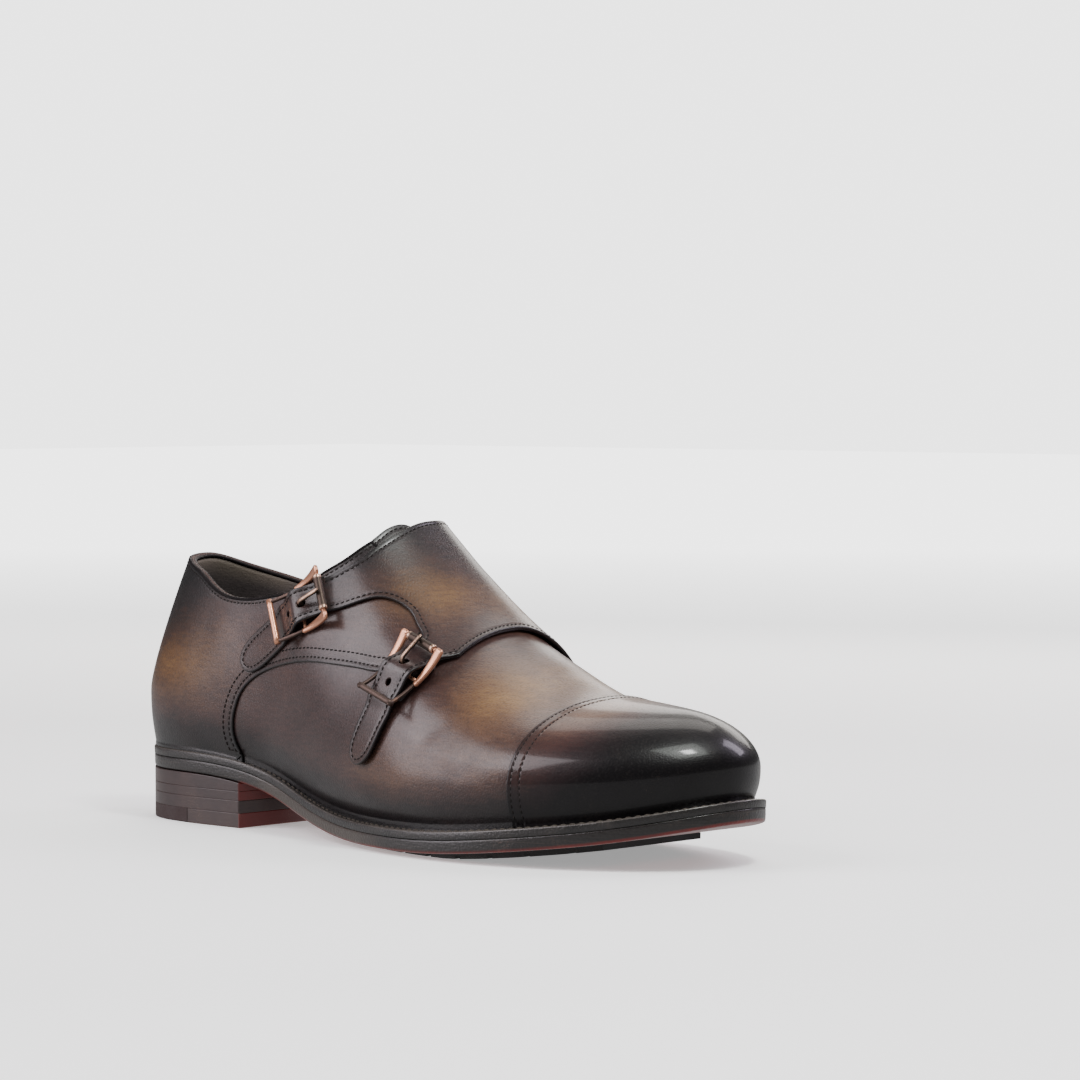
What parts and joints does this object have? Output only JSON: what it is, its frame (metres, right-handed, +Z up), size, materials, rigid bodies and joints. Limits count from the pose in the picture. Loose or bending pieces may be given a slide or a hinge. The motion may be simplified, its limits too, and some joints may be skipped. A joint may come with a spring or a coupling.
{
  "type": "monk strap shoe",
  "caption": "Plain leather dress shoe for the right foot with a crossing flap, fastened buckle straps, a stitched toe cap, a welted sole and a stacked heel, open at the collar.",
  "frame": {"origin": "on the floor under the middle of the heel", "axes": "+X towards the toe, +Y towards the inner side of the right foot, +Z up"},
  "size_m": [0.2947, 0.1045, 0.1208],
  "materials": {
    "upper_leather": "hand-patinated calf, golden brown centres burnished to near black at seams and edges, semi-gloss",
    "cap_leather": "patinated calf polished to a mirror gloss",
    "strap_leather": "dark purple-brown calf with inked black edges, satin",
    "lining_leather": "dark grey-brown lining leather, matt",
    "welt_leather": "black waxed welt, stitched",
    "sole_leather": "red painted underside with a black waxed edge",
    "heel_leather": "stacked leather stained purple-brown, waxed",
    "rubber": "black moulded rubber, matt",
    "copper": "antique copper plating, rubbed bright on the edges",
    "dark_bronze": "dark antique bronze, satin"
  },
  "bodies": {
    "root": {"outsole": "sole_leather", "welt": "welt_leather", "insole": "lining_leather", "top_lift_rubber": "rubber", "top_lift_leather": "heel_leather", "heel_lift_lower": "heel_leather", "heel_lift_middle": "heel_leather", "heel_lift_seat": "heel_leather", "forefoot_plate": "rubber", "upper": "upper_leather", "toe_cap": "cap_leather", "flap_with_straps": "strap_leather", "tongue": "lining_leather", "buckle_tab_upper": "strap_leather", "buckle_tab_lower": "strap_leather", "buckle_frame_upper": "copper", "buckle_frame_lower": "copper", "buckle_roller_upper": "dark_bronze", "buckle_roller_lower": "dark_bronze", "buckle_prong_upper": "dark_bronze", "buckle_prong_lower": "dark_bronze"}
  },
  "joints": []
}
